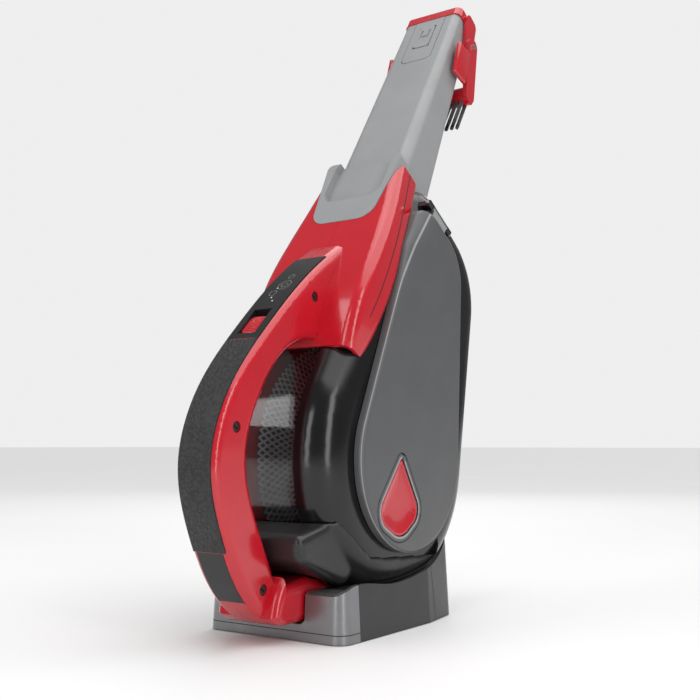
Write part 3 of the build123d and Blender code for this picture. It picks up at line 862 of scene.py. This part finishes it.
@dataclass
class FilterMesh:
    """Diamond mesh round the pre-filter, in the vacuum's frame and millimetres.

    Attributes:
        radius: The mesh's radius.
        start: Its near end along X.
        end: Its far end along X.
        wires: Wires each way round.
        lean: Angle that a wire turns through along its length, in degrees.
        flare: Near and far end along X of the flared screen over the collar.
        throat: The screen's radius at its far end.
        mouth: The screen's radius at its near end.
        gauge: A wire's radius.
        wall: The cone's thickness.
        rise: How far the screen's wires stand out from the cone.
    """

    radius: float = 43.2
    start: float = -6.4
    end: float = 18.8
    wires: int = 100
    lean: float = 36.0
    flare: tuple[float, float] = (-19.4, -7.0)
    throat: float = 45.6
    mouth: float = 73.0
    gauge: float = 0.5
    wall: float = 0.8
    rise: float = 0.6

    def build(self, shop: Workshop) -> None:
        """Makes the mesh round the cage and the flared screen over the collar."""
        mesh = self.net(self.start, self.end)
        from_tool(mesh)
        shop.piece("filter_mesh", mesh, "vacuum", "grey_satin")
        near, far = self.flare
        screen = self.net(near, far)
        self.spread_out(screen, self.rise)
        from_tool(screen)
        shop.piece("screen_mesh", screen, "vacuum", "grey_satin")
        cone = bmesh.new()
        middle = Matrix.Translation(((near + far) / 2, 0, 0)) @ Matrix.Rotation(math.radians(90), 4, "Y")
        bmesh.ops.create_cone(
            cone, cap_ends=False, segments=96, radius1=self.radius, radius2=self.radius, depth=far - near,
            matrix=middle,
        )
        self.spread_out(cone, 0.0)
        bmesh.ops.solidify(cone, geom=cone.faces[:], thickness=self.wall)
        bmesh.ops.recalc_face_normals(cone, faces=cone.faces)
        shade(cone, 40)
        from_tool(cone)
        shop.piece("screen_cone", cone, "vacuum", "black_satin")

    def spread_out(self, bm: bmesh.types.BMesh, rise: float) -> None:
        """Flares a cylinder about the filter's axis into the screen's cone.

        Args:
            bm: The bmesh, in the vacuum's frame and millimetres.
            rise: How far it stands out from the cone.
        """
        near, far = self.flare
        for vert in bm.verts:
            share = (far - vert.co.x) / (far - near)
            radius = self.throat + (self.mouth - self.throat) * share + rise
            vert.co.yz = vert.co.yz * (radius / self.radius)

    def net(self, start: float, end: float) -> bmesh.types.BMesh:
        """Makes two crossing families of wires on a cylinder.

        Args:
            start: The net's near end along X.
            end: Its far end along X.

        Returns:
            The new bmesh, in the vacuum's frame and millimetres.
        """
        bm = bmesh.new()
        for way in (-1, 1):
            for n in range(self.wires):
                self.wire(bm, way, 360 * n / self.wires, start, end)
        bmesh.ops.recalc_face_normals(bm, faces=bm.faces)
        return bm

    def wire(self, bm: bmesh.types.BMesh, way: int, turn: float, start: float, end: float) -> None:
        """Adds one helical wire.

        Args:
            bm: The bmesh that it is added to.
            way: Direction that it leans, -1 or 1.
            turn: Where it starts round the axis, in degrees.
            start: Its near end along X.
            end: Its far end along X.
        """
        lean = self.lean * (end - start) / (self.end - self.start)
        spot = Matrix.Rotation(math.radians(turn), 4, "X") @ Matrix.Translation((start, 0, self.radius))
        stand = spot @ Matrix.Rotation(math.radians(90), 4, "Y")
        WireEnd(self.gauge, 4, stand).sweep(bm, (1, 0, 0), way * lean, 8, end - start)


@dataclass
class SwitchFace:
    """Power switch with a soft-cornered pad and raised marks, in millimetres.

    Attributes:
        centre: The pad's middle in the vacuum's frame, at rest.
        tilt: Lean of the handle's face there, in degrees.
        size: Width, depth and height of the pad.
        corner: Radius of the pad's corners.
        rim: Radius of its front rim.
        mark: Height of the power mark above the pad's middle.
        mark_radius: Radius of the mark's ring.
        ridge: Width, thickness and rise of a grip ridge.
        ridge_pitch: Distance from one ridge to the next.
    """

    centre: Point = (0.0, -124.75, 12.12)
    tilt: float = 13.5
    size: Point = (12.6, 4.4, 15.7)
    corner: float = 3.6
    rim: float = 0.9
    mark: float = 3.4
    mark_radius: float = 2.2
    ridge: Point = (6.4, 0.8, 0.6)
    ridge_pitch: float = 1.9

    def build(self, shop: Workshop) -> None:
        """Makes the pad with a power mark above and a row of grip ridges below."""
        bm = bmesh.new()
        bmesh.ops.create_cube(bm, size=1.0, matrix=Matrix.Diagonal((*self.size, 1)))
        corners = [e for e in bm.edges if abs(e.verts[0].co.y - e.verts[1].co.y) > 1]
        bmesh.ops.bevel(
            bm, geom=corners, offset=self.corner, segments=6, profile=0.5, affect="EDGES", material=-1
        )
        front = [e for e in bm.edges if all(v.co.y < 0 for v in e.verts) and len(e.link_faces) == 2]
        rim = [e for e in front if e.calc_face_angle(0) > 1.2]
        bmesh.ops.bevel(
            bm, geom=rim, offset=self.rim, segments=3, profile=0.5, affect="EDGES", material=-1
        )
        face = Matrix.Translation((0, -self.size[1] / 2, 0)) @ Matrix.Rotation(math.radians(90), 4, "X")
        up = face @ Matrix.Translation((0, self.mark, 0))
        self.power_ring(bm, up @ Matrix.Rotation(math.radians(120), 4, "Z"))
        block(bm, (0.6, 2.6, 0.5), 0.2, up @ Matrix.Translation((0, 1.7, 0)))
        for n in range(3):
            block(bm, self.ridge, 0.25, face @ Matrix.Translation((0, -1.2 - self.ridge_pitch * n, 0)))
        shade(bm, 40)
        seat = Matrix.Translation(self.centre) @ Matrix.Rotation(math.radians(-self.tilt), 4, "X")
        bmesh.ops.transform(bm, matrix=seat, verts=bm.verts)
        from_tool(bm)
        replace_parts(shop.piece("power_switch_pad", bm, "switch", "red_gloss"), "power_switch")

    def power_ring(self, bm: bmesh.types.BMesh, place: Matrix) -> None:
        """Adds the mark's ring, open over a sixth of its round.

        Args:
            bm: The bmesh that it is added to.
            place: Its placement.
        """
        before = set(bm.verts)
        WireEnd(0.3, 8, upright(self.mark_radius)).sweep(bm, (0, 0, 1), 300, 30)
        bmesh.ops.transform(bm, matrix=place, verts=[v for v in bm.verts if v not in before])


@dataclass
class Seams:
    """Thin parting lines that lie on the mouldings, and a lighter band that paints the highlight along the
    door's rim, in metres unless they say otherwise.

    Attributes:
        proud: How far a line stands above its surface.
        groove_depth: Place of the housing's groove along the vacuum's depth, in millimetres.
        groove_start: Height that the groove starts from, in millimetres.
        front_height: Height of the line round the base's front.
        shell_depth: Place of the base's rear line along Y, at floor level.
        painted_highlight_inset: How far the lighter band that paints the highlight on the door's rim lies
            inside its outer face.
    """

    proud: float = 0.00006
    groove_depth: float = -81.0
    groove_start: float = 50.0
    front_height: float = 0.005
    shell_depth: float = 0.036
    painted_highlight_inset: float = 0.0014

    def build(self, shop: Workshop) -> None:
        """Makes every line."""
        back = (TOOL.to_3x3() @ Vector((0, 1, 0))).normalized()
        up = (TOOL.to_3x3() @ Vector((0, 0, 1))).normalized()
        groove = at(0, self.groove_depth, 0)
        keep = (at(0, 0, self.groove_start), up)
        for node in ("left_shell", "right_shell"):
            self.line(shop, node, groove, back, 0.0008, "rubber_black", keep)
        front = Vector((0, 0, self.front_height))
        self.line(shop, "dock_front", front, Vector((0, 0, 1)), 0.0005, "rubber_black")
        rear = Vector((0, self.shell_depth, 0))
        self.line(shop, "dock_shell", rear, Vector((0, 1, 0.12)), 0.0006, "rubber_black")
        # Painted highlight: a lighter grey band just inside the door's outer face stands in for the
        # highlight along its rim.
        rim = Vector((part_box("side_panel")[1].x - self.painted_highlight_inset, 0, 0))
        self.line(shop, "side_panel", rim, Vector((1, 0, 0)), 0.0005, "grey_satin")

    def line(
        self,
        shop: Workshop,
        node: str,
        point: Vector,
        normal: Vector,
        width: float,
        slot_name: str,
        keep: tuple[Vector, Vector] | None = None,
    ) -> None:
        """Cuts a narrow band of a node's surface out as a line of its own.

        Args:
            shop: The workshop.
            node: The CAD node that carries the line.
            point: A point of the plane that the line lies in.
            normal: That plane's normal.
            width: The line's width in metres.
            slot_name: The record's slot for its finish.
            keep: A point and a direction past which the line is kept, or None for all of it.
        """
        bm = merged(node)
        normal = normal.normalized()
        for side in (-1, 1):
            bmesh.ops.bisect_plane(
                bm, geom=all_of(bm), plane_co=point + normal * (side * width / 2), plane_no=normal * side,
                clear_outer=True,
            )
        if keep is not None:
            bmesh.ops.bisect_plane(
                bm, geom=all_of(bm), plane_co=keep[0], plane_no=-keep[1], clear_outer=True
            )
        bm.normal_update()
        for vert in bm.verts:
            vert.co += vert.normal * self.proud
        body = frame["nodes"][node]["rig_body"]
        shop.piece(f"{node}_line", bm, body, slot_name)


@dataclass
class PanelMarks:
    """Faint generic marks on the handle's control panel, in the vacuum's frame and millimetres.

    Attributes:
        rings: Height along the panel, side offset and radius of each ring.
        ring_width: A ring's width.
        lights: Height along the panel and side offset of each indicator light.
        light_radius: A light's radius.
        start: Depth that the marks are dropped from, in front of the handle.
        proud: How far a mark stands above the panel, in metres.
    """

    rings: tuple[Point, ...] = ((49.0, 1.2, 4.6), (49.0, 1.2, 2.4), (41.0, -2.6, 2.6), (58.0, 0.8, 2.2))
    ring_width: float = 0.28
    lights: tuple[tuple[float, float], ...] = ((46.0, -2.2), (36.5, -1.0), (33.0, 1.8))
    light_radius: float = 0.55
    start: float = -160.0
    proud: float = 0.00006

    def build(self, shop: Workshop) -> None:
        """Makes the rings and the indicator lights."""
        tree = BVHTree.FromBMesh(merged("control_panel"))
        rings = bmesh.new()
        for height, offset, radius in self.rings:
            self.ring(rings, height, offset, radius)
        self.settle(rings, tree)
        shop.piece("panel_rings", rings, "vacuum", "grey_satin")
        lights = bmesh.new()
        for height, offset in self.lights:
            self.disc(lights, height, offset, self.light_radius)
        self.settle(lights, tree)
        shop.piece("panel_lights", lights, "vacuum", "white_paper")

    def ring(self, bm: bmesh.types.BMesh, height: float, offset: float, radius: float) -> None:
        """Adds a flat ring facing the hand.

        Args:
            bm: The bmesh that it is added to.
            height: Its height along the panel.
            offset: Its distance from the middle.
            radius: Its outer radius.
        """
        disc = self.disc(bm, height, offset, radius)
        bmesh.ops.inset_region(bm, faces=[disc], thickness=self.ring_width, use_boundary=True)
        bmesh.ops.delete(bm, geom=[disc], context="FACES_ONLY")

    def disc(self, bm: bmesh.types.BMesh, height: float, offset: float, radius: float) -> bmesh.types.BMFace:
        """Adds a flat disc facing the hand.

        Args:
            bm: The bmesh that it is added to.
            height: Its height along the panel.
            offset: Its distance from the middle.
            radius: Its radius.

        Returns:
            Its face.
        """
        stand = Matrix.Translation((offset, self.start, height)) @ Matrix.Rotation(math.radians(90), 4, "X")
        made = bmesh.ops.create_circle(bm, cap_ends=True, segments=32, radius=radius, matrix=stand)
        return made["verts"][0].link_faces[0]

    def settle(self, bm: bmesh.types.BMesh, tree: BVHTree) -> None:
        """Drops flat marks onto the panel, where they stand a little above it.

        Args:
            bm: The marks, in the vacuum's frame and millimetres.
            tree: The panel's surface in the shared frame.
        """
        from_tool(bm)
        back = (TOOL.to_3x3() @ Vector((0, 1, 0))).normalized()
        for vert in bm.verts:
            hit = tree.ray_cast(vert.co, back)[0]
            if hit is not None:
                vert.co = hit - back * self.proud


@dataclass(frozen=True)
class Lamp:
    """A soft rectangular light aimed at the tool's middle.

    Attributes:
        name: The light's name.
        place: Its position in metres.
        size: Its width and height in metres.
        power: Watts.
    """

    name: str
    place: Point
    size: tuple[float, float]
    power: float

    def build(self) -> None:
        """Adds the light to the scene."""
        light = bpy.data.lights.new(self.name, "AREA")
        light.shape = "RECTANGLE"
        light.size, light.size_y = self.size
        light.energy = self.power
        obj = bpy.data.objects.new(self.name, light)
        obj.location = self.place
        aim = Vector((0, 0, 0.2)) - Vector(self.place)
        obj.rotation_euler = aim.to_track_quat("-Z", "Y").to_euler()
        bpy.context.scene.collection.objects.link(obj)


@dataclass
class Studio:
    """Pale floor and surroundings, soft lights and the camera.

    Attributes:
        lamps: The soft lights.
        sky_power: Strength of the broad light from above, in watts a square metre.
        seen: Brightness of the surroundings in the view.
        cast: Brightness of the surroundings as a light.
        camera_place: The camera's position in metres.
        camera_turn: Its pitch and heading in degrees.
        lens: Focal length in millimetres on a 36 mm sensor.
    """

    lamps: tuple[Lamp, ...] = (
        Lamp("key", (-0.9, -1.2, 1.1), (0.8, 0.8), 5.5),
        Lamp("door side", (1.2, -0.5, 0.55), (0.3, 1.3), 5.0),
        Lamp("front strip", (0.15, -1.4, 0.5), (0.3, 1.2), 4.0),
        Lamp("top", (0.1, 0.2, 1.6), (1.0, 1.0), 2.5),
        Lamp("back", (-0.7, 1.2, 0.9), (0.8, 0.8), 3.0),
    )
    sky_power: float = 2.5
    seen: float = 0.86
    cast: float = 0.22

    camera_place: Point = (0.37363, -0.52195, 0.10965)
    camera_turn: tuple[float, float] = (95.43, 35.0)
    lens: float = 51.43

    def build(self) -> None:
        """Sets up floor, world, lights and camera."""
        bpy.context.scene.view_settings.view_transform = "Standard"
        self.floor()
        self.world()
        for lamp in self.lamps:
            lamp.build()
        self.sky()
        self.camera()

    def floor(self) -> None:
        """A pale floor under the base."""
        bm = bmesh.new()
        bmesh.ops.create_grid(bm, x_segments=2, y_segments=2, size=40.0)
        mesh = bpy.data.meshes.new("floor")
        bm.to_mesh(mesh)
        bm.free()
        graph = Graph("pale floor")
        graph.set("Roughness", 0.6)
        drift = graph.noise(0.3, 3.0)
        graph.feed("Base Color", graph.blend(drift, (0.78, 0.78, 0.78), (0.82, 0.82, 0.82)))
        mesh.materials.append(graph.material)
        obj = bpy.data.objects.new("floor", mesh)
        bpy.context.scene.collection.objects.link(obj)
        obj.location.z = -0.0005

    def world(self) -> None:
        """Even pale surroundings."""
        world = bpy.data.worlds.new("studio")
        bpy.context.scene.world = world
        world.use_nodes = True
        tree = world.node_tree
        backdrop = tree.nodes["Background"]
        backdrop.inputs["Color"].default_value = (1, 1, 1, 1)
        seen = tree.nodes.new("ShaderNodeMapRange")
        seen.inputs["To Min"].default_value = self.cast
        seen.inputs["To Max"].default_value = self.seen
        path = tree.nodes.new("ShaderNodeLightPath")
        tree.links.new(path.outputs["Is Camera Ray"], seen.inputs["Value"])
        tree.links.new(seen.outputs["Result"], backdrop.inputs["Strength"])

    def sky(self) -> None:
        """A broad, weak light from above that reaches the whole floor."""
        light = bpy.data.lights.new("sky", "SUN")
        light.angle = math.radians(80)
        light.energy = self.sky_power
        obj = bpy.data.objects.new("sky", light)
        obj.rotation_euler = (math.radians(-12), math.radians(14), 0)
        bpy.context.scene.collection.objects.link(obj)

    def camera(self) -> None:
        """Adds the camera and makes it the scene's."""
        data = bpy.data.cameras.new("view")
        data.lens = self.lens
        data.sensor_width = 36.0
        obj = bpy.data.objects.new("view", data)
        obj.location = self.camera_place
        pitch, heading = self.camera_turn
        obj.rotation_euler = (math.radians(pitch), 0, math.radians(heading))
        bpy.context.scene.collection.objects.link(obj)
        bpy.context.scene.camera = obj


def main() -> None:
    """Builds every sub-assembly in order."""
    logging.basicConfig(level=logging.INFO)
    Studio().build()
    shop = Workshop()
    shop.stock()
    Skins().build(shop)
    Brush().build(shop)
    Springs().build(shop)
    LatchFace().build(shop)
    FilterMesh().build(shop)
    SwitchFace().build(shop)
    Seams().build(shop)
    PanelMarks().build(shop)


if __name__ == "__main__":
    main()
